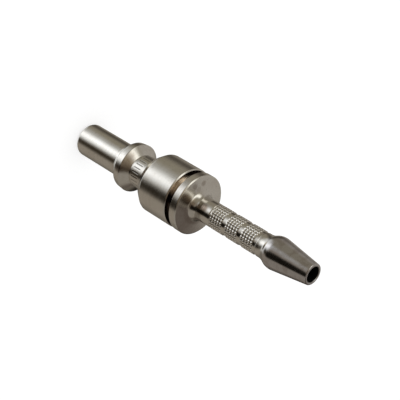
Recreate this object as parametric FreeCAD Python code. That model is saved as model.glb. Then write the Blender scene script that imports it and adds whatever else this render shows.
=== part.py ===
import FreeCAD, Part

import math
import os

# Quick coupler plug for a small gas or air hose, turned from one bar.
# It stands on its nose: the axis is +Z and z = 0 is the nose end. Sizes are millimetres.

# Nose, the spigot that enters the socket
nose_diameter = 9.0
nose_length = 15.3
nose_edge_radius = 1.0

# Bead behind the nose, which the socket's balls lock on
bead_diameter = 13.2
bead_front_angle = 55.0
bead_foot_radius = 2.0
bead_edge_radius = 1.0
bead_land_length = 2.3
bead_land_drop = 0.23
bead_crest_radius = 0.25
bead_back_length = 1.7

# Waist between bead and collar
waist_diameter = 8.9
waist_length = 6.1

# Collar, ring groove and disc
collar_diameter = 16.0
collar_length = 11.3
collar_chamfer_length = 1.9
collar_chamfer_depth = 1.3
groove_width = 1.7
groove_depth = 1.5
disc_diameter = 16.0
disc_thickness = 2.5
rim_chamfer = 0.25
face_fillet_radius = 2.0

# Stem, with knurled bands that grip the hose
stem_diameter = 6.3
stem_length = 6.3
band_count = 3
band_length = 4.55
neck_length = 0.67
neck_depth = 0.12
ring_length = 0.69

# Knurl: rows of four-sided points, in line with each other
points_around = 24
point_length = 0.86
knurl_floor = 0.03
knurl_height = 0.17
knurl_sink = 0.1
band_end_slope = 0.12

# Barb at the hose end
barb_diameter = 8.4
barb_rise_length = 4.1
barb_foot_radius = 4.4
barb_taper_length = 10.95
tip_diameter = 5.5
tip_edge_radius = 0.3

# Bore from end to end
bore_diameter = 4.0
bore_chamfer = 0.15
nose_bore_chamfer = 0.4

# Radii and stations along the axis
nose_radius = nose_diameter / 2
bead_radius = bead_diameter / 2
waist_radius = waist_diameter / 2
collar_radius = collar_diameter / 2
disc_radius = disc_diameter / 2
groove_radius = min(collar_radius, disc_radius) - groove_depth
stem_radius = stem_diameter / 2
neck_radius = stem_radius - neck_depth
barb_radius = barb_diameter / 2
tip_radius = tip_diameter / 2
bore_radius = bore_diameter / 2

land_radius = bead_radius - bead_land_drop
front_angle = math.radians(bead_front_angle)
land_angle = math.atan2(bead_land_drop, bead_land_length)
foot_share = math.tan(front_angle / 2)
edge_share = math.tan((front_angle - land_angle) / 2)
cone_length = (land_radius - nose_radius) / math.sin(front_angle)
rounding_fit = min(1.0, 0.9 * cone_length / (bead_foot_radius * foot_share + bead_edge_radius * edge_share))
foot_radius = bead_foot_radius * rounding_fit
edge_radius = bead_edge_radius * rounding_fit
foot_reach = foot_radius * foot_share
edge_reach = min(edge_radius * edge_share, 0.5 * bead_land_length)
back_angle = math.atan2(bead_radius - waist_radius, bead_back_length)
crest_share = math.tan((land_angle + back_angle) / 2)
crest_reach = min(bead_crest_radius * crest_share, 0.4 * bead_land_length, 0.9 * bead_back_length)

foot_z = nose_length + foot_reach
land_z = foot_z + cone_length * math.cos(front_angle)
bead_z = land_z + bead_land_length
waist_z = bead_z + bead_back_length
collar_z = waist_z + waist_length
groove_z = collar_z + collar_length
disc_z = groove_z + groove_width
face_z = disc_z + disc_thickness
knurl_z = face_z + stem_length
band_pitch = band_length + neck_length
ring_z = knurl_z + band_count * band_pitch
barb_foot_z = ring_z + ring_length
barb_z = barb_foot_z + barb_rise_length
tip_z = barb_z + barb_taper_length


def point(z, radius):
    """A point of the profile, which lies in the XZ plane."""
    return FreeCAD.Vector(radius, 0, z)


def arc_middle(start, end, radius, side):
    """The middle of the arc from start to end. side is +1 where it bulges outwards and -1 inwards."""
    chord = end - start
    half = chord.Length / 2
    sagitta = radius - math.sqrt(radius**2 - half**2)
    outward = FreeCAD.Vector(chord.z, 0, -chord.x).normalize()
    return (start + end) / 2 + outward * (side * sagitta)


class Profile:
    """The outline of the turned body, drawn from the axis at the nose end to the axis at the hose end."""

    def __init__(self, z, radius):
        self.last = point(z, radius)
        self.edges = []

    def line(self, z, radius):
        here = point(z, radius)
        self.edges.append(Part.LineSegment(self.last, here).toShape())
        self.last = here

    def arc(self, z, radius, bend, side):
        here = point(z, radius)
        middle = arc_middle(self.last, here, bend, side)
        self.edges.append(Part.Arc(self.last, middle, here).toShape())
        self.last = here

    def revolve(self):
        face = Part.Face(Part.Wire(self.edges))
        return face.revolve(FreeCAD.Vector(0, 0, 0), FreeCAD.Vector(0, 0, 1), 360)


def draw_nose_and_bead(outline):
    """The bead has a steep front, a land that rises a little to the crest, and a sloped back."""
    outline.line(0, nose_radius - nose_edge_radius)
    outline.arc(nose_edge_radius, nose_radius, nose_edge_radius, 1)
    outline.line(nose_length, nose_radius)

    along, out = math.cos(front_angle), math.sin(front_angle)
    outline.arc(foot_z + foot_reach * along, nose_radius + foot_reach * out, foot_radius, -1)
    outline.line(land_z - edge_reach * along, land_radius - edge_reach * out)
    land_start_z = land_z + edge_reach * math.cos(land_angle)
    outline.arc(land_start_z, land_radius + edge_reach * math.sin(land_angle), edge_radius, 1)

    crest_radius = crest_reach / crest_share
    crest_start_z = bead_z - crest_reach * math.cos(land_angle)
    outline.line(crest_start_z, bead_radius - crest_reach * math.sin(land_angle))
    crest_end_z = bead_z + crest_reach * math.cos(back_angle)
    outline.arc(crest_end_z, bead_radius - crest_reach * math.sin(back_angle), crest_radius, 1)
    outline.line(waist_z, waist_radius)
    outline.line(collar_z, waist_radius)


def draw_collar_and_disc(outline):
    outline.line(collar_z, collar_radius - collar_chamfer_depth)
    outline.line(collar_z + collar_chamfer_length, collar_radius)
    outline.line(groove_z - rim_chamfer, collar_radius)
    outline.line(groove_z, collar_radius - rim_chamfer)
    outline.line(groove_z, groove_radius)
    outline.line(disc_z, groove_radius)
    outline.line(disc_z, disc_radius - rim_chamfer)
    outline.line(disc_z + rim_chamfer, disc_radius)
    outline.line(face_z - rim_chamfer, disc_radius)
    outline.line(face_z, disc_radius - rim_chamfer)
    outline.line(face_z, stem_radius + face_fillet_radius)
    outline.arc(face_z + face_fillet_radius, stem_radius, face_fillet_radius, -1)


def draw_stem(outline):
    outline.line(knurl_z, stem_radius)
    outline.line(knurl_z, neck_radius)
    outline.line(ring_z, neck_radius)
    outline.line(ring_z, stem_radius)
    outline.line(barb_foot_z, stem_radius)


def draw_barb(outline):
    """The back of the barb is a hollow arc and a round one that meet in line, then a cone runs to the tip."""
    rise = barb_radius - stem_radius
    back_angle = 2 * math.atan2(rise, barb_rise_length)
    both_radii = barb_rise_length / math.sin(back_angle)
    hollow_radius = min(barb_foot_radius, 0.9 * both_radii)
    round_radius = both_radii - hollow_radius
    turn_z = barb_foot_z + hollow_radius * math.sin(back_angle)
    turn_radius = stem_radius + hollow_radius * (1 - math.cos(back_angle))
    outline.arc(turn_z, turn_radius, hollow_radius, -1)
    outline.arc(barb_z, barb_radius, round_radius, 1)

    taper_angle = math.atan2(barb_radius - tip_radius, barb_taper_length)
    shoulder_z = barb_z + round_radius * math.sin(taper_angle)
    shoulder_radius = barb_radius - round_radius * (1 - math.cos(taper_angle))
    outline.arc(shoulder_z, shoulder_radius, round_radius, 1)
    outline.line(tip_z - tip_edge_radius, tip_radius)
    outline.arc(tip_z, tip_radius - tip_edge_radius, tip_edge_radius, 1)


def turned_body():
    outline = Profile(0, 0)
    draw_nose_and_bead(outline)
    draw_collar_and_disc(outline)
    draw_stem(outline)
    draw_barb(outline)
    outline.line(tip_z, 0)
    outline.line(0, 0)
    return outline.revolve()


def knurl_ring(z, radii):
    """A ring of points at one height, whose radii repeat around it."""
    ring = []
    for index in range(2 * points_around):
        angle = math.pi * index / points_around
        radius = radii[index % len(radii)]
        ring.append(FreeCAD.Vector(radius * math.cos(angle), radius * math.sin(angle), z))
    return ring


def knurl_band(z):
    """One knurled band from z upwards. Its ends slope down into the stem's core."""
    valley = neck_radius + knurl_floor
    peak = valley + knurl_height
    sunk = neck_radius - knurl_sink
    rows = max(1, int((band_length - 2 * band_end_slope) / point_length))
    first_z = z + (band_length - rows * point_length) / 2

    rings = [knurl_ring(z, [sunk])]
    for row in range(2 * rows + 1):
        radii = [valley, peak] if row % 2 else [valley]
        rings.append(knurl_ring(first_z + row * point_length / 2, radii))
    rings.append(knurl_ring(z + band_length, [sunk]))

    faces = [flat_face(rings[0]), flat_face(rings[-1])]
    for level in range(len(rings) - 1):
        faces.extend(knurl_facets(rings[level], rings[level + 1], level))
    band = Part.Solid(Part.Shell(faces))
    if band.Volume < 0:
        band.reverse()
    return band


def flat_face(corners):
    return Part.Face(Part.makePolygon(corners + corners[:1]))


def knurl_facets(lower, upper, turn):
    """Two triangles for each cell between two rings. The cut runs through the cell's peak."""
    facets = []
    count = len(lower)
    for index in range(count):
        after = (index + 1) % count
        a, b = lower[index], lower[after]
        c, d = upper[after], upper[index]
        if (index + turn) % 2:
            facets.append(flat_face([a, b, c]))
            facets.append(flat_face([a, c, d]))
        else:
            facets.append(flat_face([a, b, d]))
            facets.append(flat_face([b, c, d]))
    return facets


def bore_tool():
    """What the drill takes out: the bore with a small cone at each mouth."""
    overrun = 1.0
    tool = Profile(-overrun, 0)
    tool.line(-overrun, bore_radius + nose_bore_chamfer + overrun)
    tool.line(nose_bore_chamfer, bore_radius)
    tool.line(tip_z - bore_chamfer, bore_radius)
    tool.line(tip_z + overrun, bore_radius + bore_chamfer + overrun)
    tool.line(tip_z + overrun, 0)
    tool.line(-overrun, 0)
    return tool.revolve()


def coupler_plug():
    bands = [knurl_band(knurl_z + index * band_pitch) for index in range(band_count)]
    return turned_body().fuse(bands).cut(bore_tool())


os.makedirs("parts", exist_ok=True)
plug = coupler_plug().Solids[0]
plug.exportStep("parts/coupler_plug.step")
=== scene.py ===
import math

import bpy
import numpy as np
from mathutils import Matrix, Vector

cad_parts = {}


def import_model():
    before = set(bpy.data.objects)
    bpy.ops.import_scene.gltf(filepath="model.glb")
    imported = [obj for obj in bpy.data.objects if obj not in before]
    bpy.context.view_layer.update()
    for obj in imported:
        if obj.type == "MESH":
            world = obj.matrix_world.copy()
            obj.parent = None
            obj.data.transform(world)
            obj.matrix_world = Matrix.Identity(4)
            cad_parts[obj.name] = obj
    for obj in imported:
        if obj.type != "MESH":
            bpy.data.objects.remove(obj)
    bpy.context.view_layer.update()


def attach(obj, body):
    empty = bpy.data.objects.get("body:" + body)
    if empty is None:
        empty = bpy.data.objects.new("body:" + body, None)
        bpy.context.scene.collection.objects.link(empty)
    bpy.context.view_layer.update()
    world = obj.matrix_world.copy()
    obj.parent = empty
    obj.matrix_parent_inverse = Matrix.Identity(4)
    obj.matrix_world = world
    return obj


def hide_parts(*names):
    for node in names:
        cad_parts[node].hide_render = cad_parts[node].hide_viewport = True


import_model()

# Sizes of the plug are millimetres, as in the part, and angles are degrees. Those of the room are metres.
MM = 0.001

# Nose and bead
NOSE_R = 4.5
NOSE_LENGTH = 15.3
NOSE_EDGE = 1.0
BEAD_R = 6.6
BEAD_FRONT = 55.0
BEAD_FOOT_R = 2.0
LAND_LENGTH = 2.3
LAND_DROP = 0.23
BEAD_BACK = 1.7

# Waist, collar, groove and disc
WAIST_R = 4.45
WAIST_LENGTH = 6.1
COLLAR_R = 8.0
COLLAR_LENGTH = 11.3
CHAMFER_LENGTH = 1.9
CHAMFER_DEPTH = 1.3
GROOVE_R = 6.5
GROOVE_WIDTH = 1.7
RIM = 0.28
DISC_RIM = 0.2
DISC_THICKNESS = 2.5
FACE_DROP = 0.22

# Stem, knurled bands and ring
STEM_R = 3.15
STEM_LENGTH = 6.3
NECK_R = 3.03
NECK_SLOPE = 0.15
BANDS = 3
BAND = 4.55
PITCH = 5.22
RING_LENGTH = 0.69

# Hollow root of the stem: each arc's first and last slope off the disc's face, radius and steps
ROOT_ARCS = [(5.2, 12, 7.0, 4), (12, 55, 1.4, 14), (55, 90, 2.6, 14)]

# Barb and bore
BARB_R = 4.2
BARB_RISE = 4.1
BARB_FOOT_R = 4.4
BARB_TAPER = 10.95
TIP_R = 2.75
TIP_EDGE = 0.3
BORE_R = 2.0
NOSE_MOUTH = 0.4
TIP_MOUTH = 0.15

# Knurl: rows along a band and their length, points around, how blunt these are, how much of a row's height
# stays between them, their rise and sink, and where a band fades in and out, counted from its ends
ROWS = 5
ROW = 0.86
POINTS = 24
POINT_POWER = 0.8
RIDGE = 0.15
KNURL_RISE = 0.22
KNURL_SINK = 0.03
FADE_IN = 0.1, 0.7
FADE_OUT = 0.5, 0.05
# Fall-off of the painted shade between the knurl's points, and where the painted highlight on their tops
# starts and ends
VALLEY_POWER = 1.3
TIP_HIGHLIGHT_FROM = 0.25, 0.8

# Strokes cut round the waist, with soft sides and ends
MARKS = 24
MARK_LENGTH = 2.2
MARK_DEPTH = 0.06
MARK_PLACE = 2.05
MARK_SIDE = 0.06, 0.17
MARK_END = -0.05, 0.12

# How many points a ring of the mesh has, and how far apart the rings may be
AROUND = 192
BORE_STEP = 8.0
KNURL_STEP = 0.1083
FINE_STEP = 0.168
ROOT_STEP = 0.25
PLAIN_STEP = 1.6
LONG_RUN = 0.4
END_STEP = 0.05
CORNER_POINTS = 6

# Radii that part the outside from the bore and the bore's wall, which gets painted shade, from its mouths,
# and how near a point of the mesh has to be to count as on a face
OUTSIDE_R = 2.5
DARK_BORE_R = 2.05
NEAR = 0.01

# Stations along the axis
FRONT = math.radians(BEAD_FRONT)
LAND_R = BEAD_R - LAND_DROP
LAND_Z = NOSE_LENGTH + BEAD_FOOT_R * math.tan(FRONT / 2) + (LAND_R - NOSE_R) / math.tan(FRONT)
BEAD_Z = LAND_Z + LAND_LENGTH
WAIST_Z = BEAD_Z + BEAD_BACK
COLLAR_Z = WAIST_Z + WAIST_LENGTH
GROOVE_Z = COLLAR_Z + COLLAR_LENGTH
DISC_Z = GROOVE_Z + GROOVE_WIDTH
FACE_Z = DISC_Z + DISC_THICKNESS
KNURL_Z = FACE_Z + STEM_LENGTH
RING_Z = KNURL_Z + BANDS * PITCH
RISE_Z = RING_Z + RING_LENGTH
BARB_Z = RISE_Z + BARB_RISE
TIP_Z = BARB_Z + BARB_TAPER
MARK_Z = WAIST_Z + MARK_PLACE


class Outline:
    """Points (z, radius) of the closed outline. Each has the rounding that its corner gets."""

    OUTWARDS = 1
    INWARDS = -1

    def __init__(self):
        self.points = []

    def to(self, z, radius, rounding=0.0):
        self.points.append((z, radius, rounding))

    def arc(self, z, radius, bend, side, steps):
        """An arc from the last point. side says which way it bulges."""
        start = np.array(self.points[-1][:2])
        end = np.array((z, radius))
        chord = end - start
        length = np.hypot(*chord)
        outward = np.array((-chord[1], chord[0])) / length
        depth = math.sqrt(bend**2 - (length / 2) ** 2)
        centre = (start + end) / 2 - outward * side * depth
        first = math.atan2(*(start - centre)[::-1])
        turn = math.atan2(*(end - centre)[::-1]) - first
        turn = (turn + math.pi) % (2 * math.pi) - math.pi
        for index in range(1, steps + 1):
            angle = first + turn * index / steps
            self.to(centre[0] + bend * math.cos(angle), centre[1] + bend * math.sin(angle))

    def turn(self, first, last, bend, steps):
        """A hollow arc from the last point, whose slope off the disc's face runs from first to last."""
        z, radius, _ = self.points[-1]
        first, last = math.radians(first), math.radians(last)
        for index in range(1, steps + 1):
            slope = first + (last - first) * index / steps
            up = bend * (math.cos(first) - math.cos(slope))
            inwards = bend * (math.sin(slope) - math.sin(first))
            self.to(z + up, radius - inwards)


def draw_nose_and_bead(line):
    line.to(0, BORE_R + NOSE_MOUTH, rounding=0.12)
    line.to(0, NOSE_R - NOSE_EDGE)
    line.arc(NOSE_EDGE, NOSE_R, NOSE_EDGE, line.OUTWARDS, steps=10)
    line.to(NOSE_LENGTH, NOSE_R)
    foot_z = NOSE_LENGTH + BEAD_FOOT_R * math.sin(FRONT)
    foot_r = NOSE_R + BEAD_FOOT_R * (1 - math.cos(FRONT))
    line.arc(foot_z, foot_r, BEAD_FOOT_R, line.INWARDS, steps=10)
    line.to(LAND_Z, LAND_R, rounding=1.0)
    line.to(BEAD_Z, BEAD_R, rounding=0.25)
    line.to(WAIST_Z, WAIST_R)
    line.to(COLLAR_Z, WAIST_R, rounding=0.15)


def draw_collar_and_disc(line):
    line.to(COLLAR_Z, COLLAR_R - CHAMFER_DEPTH, rounding=0.12)
    line.to(COLLAR_Z + CHAMFER_LENGTH, COLLAR_R, rounding=0.4)
    line.to(GROOVE_Z - RIM, COLLAR_R, rounding=0.08)
    line.to(GROOVE_Z, COLLAR_R - RIM, rounding=0.08)
    line.to(GROOVE_Z, GROOVE_R, rounding=0.1)
    line.to(DISC_Z, GROOVE_R, rounding=0.1)
    line.to(DISC_Z, COLLAR_R - DISC_RIM, rounding=0.08)
    line.to(DISC_Z + DISC_RIM, COLLAR_R, rounding=0.08)
    line.to(FACE_Z - FACE_DROP - RIM, COLLAR_R, rounding=0.08)
    line.to(FACE_Z - FACE_DROP, COLLAR_R - RIM, rounding=0.2)


def draw_stem(line):
    """The root's arcs end on the stem, so their reach says where the first one starts."""
    reach = 0
    for first, last, bend, _ in ROOT_ARCS:
        reach += bend * (math.sin(math.radians(last)) - math.sin(math.radians(first)))
    line.to(FACE_Z, STEM_R + reach)
    for arc in ROOT_ARCS:
        line.turn(*arc)
    line.to(KNURL_Z - NECK_SLOPE, STEM_R, rounding=0.3)
    line.to(KNURL_Z, NECK_R)
    line.to(RING_Z, NECK_R)
    line.to(RING_Z + NECK_SLOPE, STEM_R, rounding=0.25)
    line.to(RISE_Z, STEM_R)


def draw_barb(line):
    """The back of the barb is a hollow arc and a round one that meet in line. A cone runs to the tip."""
    back = 2 * math.atan2(BARB_R - STEM_R, BARB_RISE)
    bend = BARB_RISE / math.sin(back) - BARB_FOOT_R
    meeting_z = RISE_Z + BARB_FOOT_R * math.sin(back)
    meeting_r = STEM_R + BARB_FOOT_R * (1 - math.cos(back))
    line.arc(meeting_z, meeting_r, BARB_FOOT_R, line.INWARDS, steps=12)
    line.arc(BARB_Z, BARB_R, bend, line.OUTWARDS, steps=14)
    taper = math.atan2(BARB_R - TIP_R, BARB_TAPER)
    shoulder_z = BARB_Z + bend * math.sin(taper)
    shoulder_r = BARB_R - bend * (1 - math.cos(taper))
    line.arc(shoulder_z, shoulder_r, bend, line.OUTWARDS, steps=6)
    line.to(TIP_Z - TIP_EDGE, TIP_R)
    line.arc(TIP_Z, TIP_R - TIP_EDGE, TIP_EDGE, line.OUTWARDS, steps=6)


def draw_bore(line):
    line.to(TIP_Z, BORE_R + TIP_MOUTH, rounding=0.06)
    line.to(TIP_Z - TIP_MOUTH, BORE_R, rounding=0.05)
    line.to(NOSE_MOUTH, BORE_R, rounding=0.05)


def turned_outline():
    line = Outline()
    draw_nose_and_bead(line)
    draw_collar_and_disc(line)
    draw_stem(line)
    draw_barb(line)
    draw_bore(line)
    return line.points


def rounded(points):
    """The outline with an arc at each corner that has a rounding."""
    result = []
    for index, (z, radius, rounding) in enumerate(points):
        here = np.array((z, radius))
        if not rounding:
            result.append(here)
            continue
        before = np.array(points[index - 1][:2]) - here
        after = np.array(points[(index + 1) % len(points)][:2]) - here
        before /= np.hypot(*before)
        after /= np.hypot(*after)
        half = math.acos(np.clip(before @ after, -1, 1)) / 2
        reach = rounding / math.tan(half)
        centre = here + (before + after) / np.hypot(*(before + after)) * rounding / math.sin(half)
        for step in np.linspace(0, 1, CORNER_POINTS):
            side = here + reach * (before * (1 - step) + after * step) - centre
            result.append(centre + side / np.hypot(*side) * rounding)
    return result


def spacing(z, radius):
    """How far apart the rings may be at a place on the outline."""
    if radius < DARK_BORE_R:
        return BORE_STEP
    if KNURL_Z - NECK_SLOPE < z < RING_Z + NECK_SLOPE:
        return KNURL_STEP
    if WAIST_Z < z < COLLAR_Z or GROOVE_Z < z < DISC_Z:
        return FINE_STEP
    if FACE_Z - FACE_DROP < z < KNURL_Z:
        return ROOT_STEP
    return PLAIN_STEP


def filled(points):
    """The outline with more rings where they are needed, and one close to each end of a long run."""
    result = []
    for index, here in enumerate(points):
        after = points[(index + 1) % len(points)]
        gap = np.hypot(*(after - here))
        result.append(here)
        middle = (here + after) / 2
        cuts = max(1, math.ceil(gap / spacing(*middle)))
        steps = [n / cuts for n in range(1, cuts)]
        if gap > LONG_RUN:
            steps = [END_STEP / gap] + steps + [1 - END_STEP / gap]
        result.extend(here + (after - here) * step for step in steps)
    return np.array(result)


def smooth(low, high, value):
    """A soft step from 0 to 1, between low and high."""
    t = np.clip((value - low) / (high - low), 0, 1)
    return t * t * (3 - 2 * t)


def azimuth_of(angle):
    """Degrees from -Y towards +X, between -180 and 180."""
    return (np.degrees(angle) + 270) % 360 - 180


def knurl(z, angle):
    """Height of the knurl, painted shade between its points, and painted highlight on their tops."""
    height, valley_shade, tip_highlight = np.zeros_like(z), np.zeros_like(z), np.zeros_like(z)
    for index in range(BANDS):
        start = KNURL_Z + index * PITCH
        end = start + BAND
        inside = smooth(start + FADE_IN[0], start + FADE_IN[1], z)
        inside *= 1 - smooth(end - FADE_OUT[0], end - FADE_OUT[1], z)
        along = (z - start - BAND / 2) / ROW + ROWS / 2
        row = np.abs(np.sin(np.pi * along)) ** POINT_POWER
        point = np.abs(np.sin(angle * POINTS / 2)) ** POINT_POWER
        crest = row * (RIDGE + (1 - RIDGE) * point)
        height += inside * (KNURL_RISE * crest - KNURL_SINK)
        valley_shade += inside * (1 - crest) ** VALLEY_POWER
        tip_highlight += inside * smooth(*TIP_HIGHLIGHT_FROM, crest)
    return height, valley_shade, tip_highlight


def marks(z, angle):
    """How deep in one of the plain strokes round the waist each place is, from 0 to 1."""
    turn = angle * MARKS / (2 * np.pi)
    across = np.abs(turn - np.round(turn)) * 2 * np.pi * WAIST_R / MARKS
    along = np.abs(z - MARK_Z) - MARK_LENGTH / 2
    return (1 - smooth(*MARK_SIDE, across)) * (1 - smooth(*MARK_END, along))


# Soft dark patches on the stem, the disc's face and the bead: azimuth, z, radius, size and strength. On the
# stem's root and the bead they are painted shade that stands for dark reflections. Each ends between two
# shares of its size.
DARK_PATCHES = [
    (-3, FACE_Z + 3.75, STEM_R, 1.5, 0.8),
    (14, FACE_Z + 3.35, STEM_R, 1.7, 0.6),
    (5, FACE_Z + 2.15, STEM_R, 1.0, 0.5),
    (-60, FACE_Z - 0.05, 6.1, 0.9, 0.4),
    (-33, FACE_Z - 0.05, 6.2, 1.0, 0.4),
    (-44, FACE_Z - 0.05, 4.9, 0.9, 0.2),
    (-15, BEAD_Z + 0.85, 5.7, 1.7, 0.5),
    (23, BEAD_Z - 0.45, BEAD_R, 1.3, 0.55),
]
PATCH_END = 0.45, 1.1


def dark_patches(z, radius, angle):
    """How dark the patches make each place."""
    result = np.zeros_like(z)
    azimuth = azimuth_of(angle)
    for where, up, out, size, strength in DARK_PATCHES:
        aside = np.radians((azimuth - where + 180) % 360 - 180) * out
        far = np.sqrt(aside**2 + (z - up) ** 2 + (radius - out) ** 2) / size
        result = np.maximum(result, strength * (1 - smooth(*PATCH_END, far)))
    return result


# The groove gets a painted warm tint of reflected light where it is lit, between these two soft edges of
# azimuth, and painted shade, nearly black, elsewhere
LIT_FROM = -58, -30
LIT_TO = -4, 18
GROOVE_SHADE_STRENGTH = 0.94


def groove_painted_light(z, radius, angle):
    """How much painted warm tint and painted shade each place of the groove gets."""
    azimuth = azimuth_of(angle)
    groove = (radius > GROOVE_R - NEAR) * (radius < COLLAR_R - DISC_RIM)
    groove = groove * (z > GROOVE_Z - NEAR) * (z < DISC_Z + NEAR)
    lit = smooth(*LIT_FROM, azimuth) * (1 - smooth(*LIT_TO, azimuth))
    return groove * lit, groove * (1 - lit) * GROOVE_SHADE_STRENGTH


# How satin the outside is from nose to tip. The values between are in proportion.
SATIN = [
    (NOSE_LENGTH - 1.8, 0.15), (NOSE_LENGTH + 0.7, 0.17), (COLLAR_Z - 0.75, 0.17), (COLLAR_Z + 0.25, 0.19),
    (GROOVE_Z - 0.05, 0.19), (GROOVE_Z + 0.45, 0.16), (DISC_Z - 0.15, 0.16), (DISC_Z + 0.25, 0.20),
    (FACE_Z - 0.05, 0.20), (FACE_Z + 1.55, 0.14), (FACE_Z + 2.25, 0.11), (KNURL_Z - 0.35, 0.11),
    (KNURL_Z + 0.45, 0.12), (RING_Z - 0.71, 0.12), (RING_Z - 0.11, 0.24), (RISE_Z + 0.3, 0.22),
    (RISE_Z + 1.6, 0.13), (BARB_Z - 1.0, 0.14), (BARB_Z + 1.0, 0.15), (BARB_Z + 9.0, 0.16),
    (TIP_Z - 0.45, 0.18), (TIP_Z + 1.05, 0.20),
]


def lathe(outline):
    """Turns the outline into rings of points, and works out what the steel needs to know at each."""
    turn = np.arange(AROUND) * 2 * np.pi / AROUND
    z = np.repeat(outline[:, 0], AROUND)
    radius = np.repeat(outline[:, 1], AROUND)
    angle = np.tile(turn, len(outline))
    outside = radius > OUTSIDE_R
    height, valley_shade, tip_highlight = knurl(z, angle)
    stroke = marks(z, angle) * (np.abs(radius - WAIST_R) < NEAR)
    radius = radius + np.where(outside, height, 0) - MARK_DEPTH * stroke
    points = np.stack((radius * np.cos(angle), radius * np.sin(angle), z), axis=1) * MM
    brown, groove_shade = groove_painted_light(z, radius, angle)
    return points, {
        # Painted shade between the knurl's points, and a painted highlight on their tops
        "valley_shade": valley_shade * outside,
        "crest": tip_highlight * outside,
        "stroke": stroke,
        # Painted shade on the stem's root and the bead, and plain dark patches on the disc's face
        "dark_patch": dark_patches(z, radius, angle),
        # The groove's painted warm tint where it is lit, and its painted shade, nearly black, where it is
        # dark
        "brown": brown,
        "groove_shade": groove_shade,
        "satin": np.interp(z, *zip(*SATIN)),
        "dull": smooth(RISE_Z + 0.6, BARB_Z, z),
        # The bore's wall gets painted shade, nearly black
        "bore": radius < DARK_BORE_R,
    }


def quads(count):
    """Faces between the rings, and from the last ring back to the first."""
    ring = np.arange(count)[:, None] * AROUND
    after = (np.arange(count)[:, None] + 1) % count * AROUND
    step = np.arange(AROUND)[None]
    turn = (step + 1) % AROUND
    return np.stack((ring + step, ring + turn, after + turn, after + step), axis=2).reshape(-1, 4)


def plug_mesh():
    outline = filled(rounded(turned_outline()))
    points, layers = lathe(outline)
    mesh = bpy.data.meshes.new("plug_finish")
    mesh.from_pydata(points.tolist(), [], quads(len(outline)).tolist())
    mesh.polygons.foreach_set("use_smooth", [True] * len(mesh.polygons))
    for name, values in layers.items():
        layer = mesh.attributes.new(name, "FLOAT", "POINT")
        layer.data.foreach_set("value", values.astype(np.float32))
    mesh.update()
    return mesh


def add_object(name, data):
    item = bpy.data.objects.new(name, data)
    bpy.context.collection.objects.link(item)
    return item


class Nodes:
    """A short way to write a node tree."""

    def __init__(self, tree):
        self.tree = tree
        tree.nodes.clear()

    def add(self, kind, **settings):
        node = self.tree.nodes.new(kind)
        for key, value in settings.items():
            setattr(node, key, value)
        return node

    def link(self, source, target):
        self.tree.links.new(source, target)

    def feed(self, socket, value):
        """Sets a number or a colour on the socket, and links anything else to it."""
        if isinstance(value, tuple):
            socket.default_value = (*value, 1)
        elif isinstance(value, (int, float)):
            socket.default_value = value
        else:
            self.link(value, socket)

    def math(self, operation, first, second):
        node = self.add("ShaderNodeMath", operation=operation)
        self.feed(node.inputs[0], first)
        self.feed(node.inputs[1], second)
        return node.outputs[0]

    def spread(self, value, amount, middle=0.5):
        """How far a value is from the middle, times an amount."""
        return self.math("MULTIPLY", self.math("SUBTRACT", value, middle), amount)

    def noise(self, vector, scale, detail):
        node = self.add("ShaderNodeTexNoise")
        node.inputs["Scale"].default_value = scale
        node.inputs["Detail"].default_value = detail
        node.inputs["Roughness"].default_value = 0.55
        self.link(vector, node.inputs["Vector"])
        return node.outputs["Fac"]

    def stretched(self, vector, scale):
        node = self.add("ShaderNodeMapping")
        node.inputs["Scale"].default_value = scale
        self.link(vector, node.inputs["Vector"])
        return node.outputs["Vector"]

    def attribute(self, name, output="Fac"):
        return self.add("ShaderNodeAttribute", attribute_name=name).outputs[output]

    def ramp(self, factor, stops):
        node = self.add("ShaderNodeValToRGB")
        ramp = node.color_ramp
        while len(ramp.elements) < len(stops):
            ramp.elements.new(0.5)
        for element, (place, colour) in zip(ramp.elements, stops):
            element.position = place
            element.color = (*colour, 1)
        self.link(factor, node.inputs["Fac"])
        return node.outputs["Color"]

    def mix(self, factor, first, second):
        node = self.add("ShaderNodeMix", data_type="RGBA")
        self.feed(node.inputs["Factor"], factor)
        self.feed(node.inputs["A"], first)
        self.feed(node.inputs["B"], second)
        return node.outputs["Result"]

    def surface(self, shader, output="ShaderNodeOutputMaterial"):
        self.link(shader, self.add(output).inputs["Surface"])


def new_material(name):
    """A material with an empty node tree, and the way to write it."""
    material = bpy.data.materials.new(name)
    material.use_nodes = True
    return material, Nodes(material.node_tree)


# Colours of the steel: the clean metal's cloudy tone, its turning lines, the barb and what lies on it
CLEAN_STEEL = [(0.3, (0.57, 0.54, 0.495)), (0.5, (0.62, 0.60, 0.56)), (0.72, (0.66, 0.645, 0.61))]
TURNING_LINE = (0.52, 0.49, 0.45)
DULL_BARB = (0.44, 0.425, 0.435)
BARB_BLOT = (0.31, 0.27, 0.25)
SPECK = (0.3, 0.27, 0.24)

# How much of each of the last four shows, and how much the lathe's lines vary the first
LINE_SHARE = 0.12
LINE_CONTRAST = 0.5
DULL_SHARE = 0.8
BLOT_SHARE = 0.45
SPECK_SHARE = 0.8

# Colours that lie over the steel in this order: layer of the mesh, strength and colour
OVERLAYS = [
    # A painted highlight on the tops of the knurl's points
    ("crest", 0.9, (1.0, 0.985, 0.95)),
    # Painted shade between the knurl's points
    ("valley_shade", 0.5, (0.12, 0.10, 0.08)),
    # A painted warm tint where the groove is lit
    ("brown", 1.0, (0.62, 0.545, 0.46)),
    # Painted shade in the groove's dark parts
    ("groove_shade", 1.0, (0.10, 0.075, 0.055)),
    # Painted shade on the stem's root and the bead, and plain dark patches on the disc's face
    ("dark_patch", 1.0, (0.15, 0.095, 0.055)),
    ("stroke", 0.85, (0.09, 0.085, 0.08)),
    # Painted shade on the bore's wall
    ("bore", 1.0, (0.05, 0.047, 0.045)),
]

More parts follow.
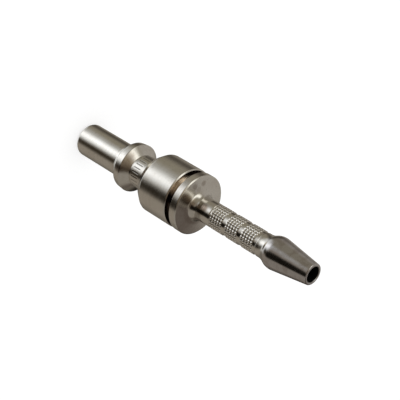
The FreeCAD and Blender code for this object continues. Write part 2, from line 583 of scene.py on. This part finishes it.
# Noise in the steel, in repeats to the metre. The lathe's lines are stretched round the axis.
FINE_LINES = (40, 40, 9000)
LINES = (120, 120, 2600)
CLOUD_SCALE = 260.0
BLOT_SCALE = 420.0
SPECK_SCALE = 1500.0

# What varies the steel's roughness or adds to it, and the relief of the lathe's lines
CLOUD_ROUGHNESS = 0.10
LINE_ROUGHNESS = 0.10
STROKE_ROUGHNESS = 0.2
BORE_ROUGHNESS = 0.3
BUMP_STRENGTH = 0.35
BUMP_DEPTH = 0.012


def steel_tone(n, place, clouds, lines):
    tone = n.ramp(clouds, CLEAN_STEEL)
    tone = n.mix(n.math("ADD", LINE_SHARE, n.spread(lines, LINE_CONTRAST)), tone, TURNING_LINE)

    dull = n.attribute("dull")
    blots = n.spread(n.noise(place, BLOT_SCALE, detail=3.0), amount=4.0, middle=0.47)
    blots = n.math("MINIMUM", n.math("MAXIMUM", blots, 0.0), BLOT_SHARE)
    tone = n.mix(n.math("MULTIPLY", dull, DULL_SHARE), tone, DULL_BARB)
    tone = n.mix(n.math("MULTIPLY", dull, blots), tone, BARB_BLOT)

    specks = n.spread(n.noise(place, SPECK_SCALE, detail=2.0), amount=3.0, middle=0.62)
    tone = n.mix(n.math("MULTIPLY", n.math("MAXIMUM", specks, 0.0), SPECK_SHARE), tone, SPECK)
    for name, strength, colour in OVERLAYS:
        tone = n.mix(n.math("MULTIPLY", n.attribute(name), strength), tone, colour)
    return tone


def steel_roughness(n, clouds, lines):
    rough = n.math("ADD", n.attribute("satin"), n.spread(clouds, CLOUD_ROUGHNESS))
    rough = n.math("ADD", rough, n.spread(lines, LINE_ROUGHNESS))
    rough = n.math("ADD", rough, n.math("MULTIPLY", n.attribute("stroke"), STROKE_ROUGHNESS))
    return n.math("ADD", rough, n.math("MULTIPLY", n.attribute("bore"), BORE_ROUGHNESS))


def steel():
    """Turned steel, whose colour and roughness also follow the layers of the mesh."""
    material, n = new_material("turned_steel")
    place = n.add("ShaderNodeTexCoord").outputs["Object"]
    fine = n.noise(n.stretched(place, FINE_LINES), scale=1.0, detail=2.0)
    lines = n.noise(n.stretched(place, LINES), scale=1.0, detail=3.0)
    clouds = n.noise(place, CLOUD_SCALE, detail=4.0)

    bump = n.add("ShaderNodeBump")
    bump.inputs["Strength"].default_value = BUMP_STRENGTH
    bump.inputs["Distance"].default_value = BUMP_DEPTH * MM
    n.link(n.math("ADD", fine, lines), bump.inputs["Height"])

    shader = n.add("ShaderNodeBsdfPrincipled")
    shader.inputs["Metallic"].default_value = 1.0
    shader.inputs["Anisotropic"].default_value = 0.3
    tangent = n.add("ShaderNodeTangent", direction_type="RADIAL", axis="Z")
    n.link(tangent.outputs["Tangent"], shader.inputs["Tangent"])
    n.link(steel_tone(n, place, clouds, lines), shader.inputs["Base Color"])
    n.link(steel_roughness(n, clouds, lines), shader.inputs["Roughness"])
    n.link(bump.outputs["Normal"], shader.inputs["Normal"])
    n.surface(shader.outputs["BSDF"])
    return material


def plug():
    body = add_object("plug_finish", plug_mesh())
    body.data.materials.append(steel())
    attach(body, "root")
    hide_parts("coupler_plug")


# Floor and background
FLOOR_HALF = 3.0
FLOOR_PAINT = (0.45, 0.45, 0.45, 1)
FLOOR_GLOW = 0.62
WHITE = (1, 1, 1, 1)


def floor():
    """A floor for the plug's shadow. The metal doesn't mirror it, or its lower sides would be flat white."""
    mesh = bpy.data.meshes.new("floor")
    low, high = -FLOOR_HALF, FLOOR_HALF
    mesh.from_pydata([(low, low, 0), (high, low, 0), (high, high, 0), (low, high, 0)], [], [(0, 1, 2, 3)])
    ground = add_object("floor", mesh)
    material, n = new_material("pale_floor")
    paint = n.add("ShaderNodeBsdfDiffuse")
    paint.inputs["Color"].default_value = FLOOR_PAINT
    glow = n.add("ShaderNodeEmission")
    glow.inputs["Color"].default_value = WHITE
    path = n.add("ShaderNodeLightPath").outputs
    seen = n.math("ADD", path["Is Camera Ray"], path["Is Glossy Ray"])
    seen = n.math("ADD", seen, path["Is Transmission Ray"])
    n.link(n.math("MULTIPLY", seen, FLOOR_GLOW), glow.inputs["Strength"])
    both = n.add("ShaderNodeAddShader")
    n.link(paint.outputs["BSDF"], both.inputs[0])
    n.link(glow.outputs["Emission"], both.inputs[1])
    n.surface(both.outputs["Shader"])
    mesh.materials.append(material)
    ground.visible_glossy = False


def world():
    room = bpy.data.worlds.new("white_room")
    room.use_nodes = True
    n = Nodes(room.node_tree)
    background = n.add("ShaderNodeBackground")
    background.inputs["Color"].default_value = WHITE
    background.inputs["Strength"].default_value = 1.0
    n.surface(background.outputs["Background"], "ShaderNodeOutputWorld")
    bpy.context.scene.world = room


# What the metal mirrors: soft panels of a light tent, laid over each other in this order. Each has its
# azimuth from -Y towards +X, its elevation, half width, half height, the softness of its sides and of its
# ends, and its colour. A panel without a height is round.
TENT_GREY = (0.36, 0.32, 0.27)
PANELS = [
    (-135, 22, 52, 44, 40, 30, (0.48, 0.45, 0.41)),
    (92, 25, 30, 40, 30, 30, (0.36, 0.33, 0.29)),
    (147, 20, 24, 48, 14, 24, (0.13, 0.105, 0.09)),
    (165, -35, 30, 50, 34, 10, (0.20, 0.18, 0.15)),
    (160, -12, 12, 18, 20, 16, (0.03, 0.025, 0.02)),
    (-45, 0, 40, 90, 30, 10, (0.335, 0.305, 0.24)),
    (-118, -52, 14, 32, 26, 20, (0.10, 0.088, 0.07)),
    (14, 50, 20, 44, 30, 24, (0.20, 0.155, 0.11)),
    (-22, 62, 8, 24, 16, 20, (0.48, 0.40, 0.29)),
    (-15, -76, 27, None, 24, 0, (1.28, 1.31, 1.33)),
    (-15, -62, 24, 28, 42, 14, (0.73, 0.745, 0.745)),
    (-12, -24, 12, 12, 18, 12, (0.67, 0.675, 0.67)),
    (-64, 42, 12, 36, 22, 14, (1.70, 1.68, 1.58)),
    (-12, -62, 12, 27, 25, 14, (1.83, 1.87, 1.92)),
    (50, 62, 9, 20, 14, 16, (0.06, 0.042, 0.026)),
    (41, -12, 12, 56, 18, 20, (0.05, 0.04, 0.027)),
    (40, 3.5, 16, 42.5, 10, 6, (0.010, 0.008, 0.006)),
    (31, -16, 17, 9, 14, 10, (0.014, 0.012, 0.009)),
]
TENT_COLUMNS = 180
TENT_ROWS = 90
TENT_RADIUS = 0.6
TENT_CENTRE = (0, 0, 0.04)

# Near the dome's poles a degree of azimuth still counts as this share of a degree
POLE_SHARE = 0.25


def heading(azimuth, elevation):
    """The direction at an azimuth from -Y towards +X and an elevation, both in degrees."""
    a, e = np.radians(azimuth), np.radians(elevation)
    return np.stack((np.cos(e) * np.sin(a), -np.cos(e) * np.cos(a), np.sin(e)), axis=-1)


def within(half, softness, distance):
    """1 nearer than half, 0 further away, and a soft edge between."""
    return 1 - smooth(half - softness / 2, half + softness / 2, distance)


def cover(azimuth, elevation, where, up, width, height, side, end):
    """How much a panel covers each direction. Its width is measured along the dome, not in azimuth."""
    if height is None:
        away = heading(azimuth, elevation) @ heading(where, up)
        return within(width, side, np.degrees(np.arccos(np.clip(away, -1, 1))))
    share = np.maximum(np.cos(np.radians(elevation)), POLE_SHARE)
    across = np.abs((azimuth - where + 180) % 360 - 180) * share
    return within(width, side, across) * within(height, end, np.abs(elevation - up))


def tent_colours(azimuth, elevation):
    colour = np.tile(np.array(TENT_GREY), (len(azimuth), 1))
    for *panel, glow in PANELS:
        colour += (np.array(glow) - colour) * cover(azimuth, elevation, *panel)[:, None]
    return colour


def tent():
    """A dome that only mirrors see. Its panels make the light and dark bands along the metal."""
    azimuth = np.repeat(np.arange(TENT_COLUMNS) * 360 / TENT_COLUMNS - 180, TENT_ROWS + 1)
    elevation = np.tile(np.linspace(-90, 90, TENT_ROWS + 1), TENT_COLUMNS)
    faces = []
    for column in range(TENT_COLUMNS):
        after = (column + 1) % TENT_COLUMNS
        for row in range(TENT_ROWS):
            a, b = column * (TENT_ROWS + 1) + row, after * (TENT_ROWS + 1) + row
            faces.append((a, a + 1, b + 1, b))
    mesh = bpy.data.meshes.new("light_tent")
    mesh.from_pydata((heading(azimuth, elevation) * TENT_RADIUS).tolist(), [], faces)
    colours = np.insert(tent_colours(azimuth, elevation), 3, 1.0, axis=1)
    layer = mesh.color_attributes.new("glow", "FLOAT_COLOR", "POINT")
    layer.data.foreach_set("color", colours.astype(np.float32).ravel())

    material, n = new_material("light_tent")
    glow = n.add("ShaderNodeEmission")
    n.link(n.attribute("glow", "Color"), glow.inputs["Color"])
    n.surface(glow.outputs["Emission"])
    mesh.materials.append(material)

    dome = add_object("light_tent", mesh)
    dome.location = TENT_CENTRE
    dome.visible_camera = False
    dome.visible_diffuse = False
    dome.visible_shadow = False
    dome.visible_transmission = False


# The photograph's camera, fitted to the plug's outline: its angle above the floor, its roll, its distance
# from a point near the plug's middle, and small shifts aside and up that place the plug in the frame
CAMERA_TILT = 36.901
CAMERA_ROLL = 121.012
CAMERA_DISTANCE = 0.2835
CAMERA_MIDDLE = (0, 0, 0.0413)
CAMERA_ASIDE = 0.001538
CAMERA_LIFT = 0.00063
LENS = 103.15
SENSOR = 36.0


def camera():
    """The photograph's view, rolled so that the plug points to the lower right."""
    tilt, roll = math.radians(CAMERA_TILT), math.radians(CAMERA_ROLL)
    flat_x = Vector((1, 0, 0))
    flat_y = Vector((0, math.sin(tilt), math.cos(tilt)))
    back = Vector((0, -math.cos(tilt), math.sin(tilt)))
    right = flat_x * math.cos(roll) + flat_y * math.sin(roll)
    up = flat_y * math.cos(roll) - flat_x * math.sin(roll)
    place = Vector(CAMERA_MIDDLE) + back * CAMERA_DISTANCE + right * CAMERA_ASIDE + up * CAMERA_LIFT
    eye = add_object("camera", bpy.data.cameras.new("camera"))
    eye.matrix_world = Matrix.Translation(place) @ Matrix((right, up, back)).transposed().to_4x4()
    eye.data.lens = LENS
    eye.data.sensor_width = SENSOR
    eye.data.clip_start = 0.01
    eye.data.clip_end = 20
    bpy.context.scene.camera = eye


plug()
floor()
world()
tent()
camera()
bpy.context.scene.view_settings.view_transform = "Standard"
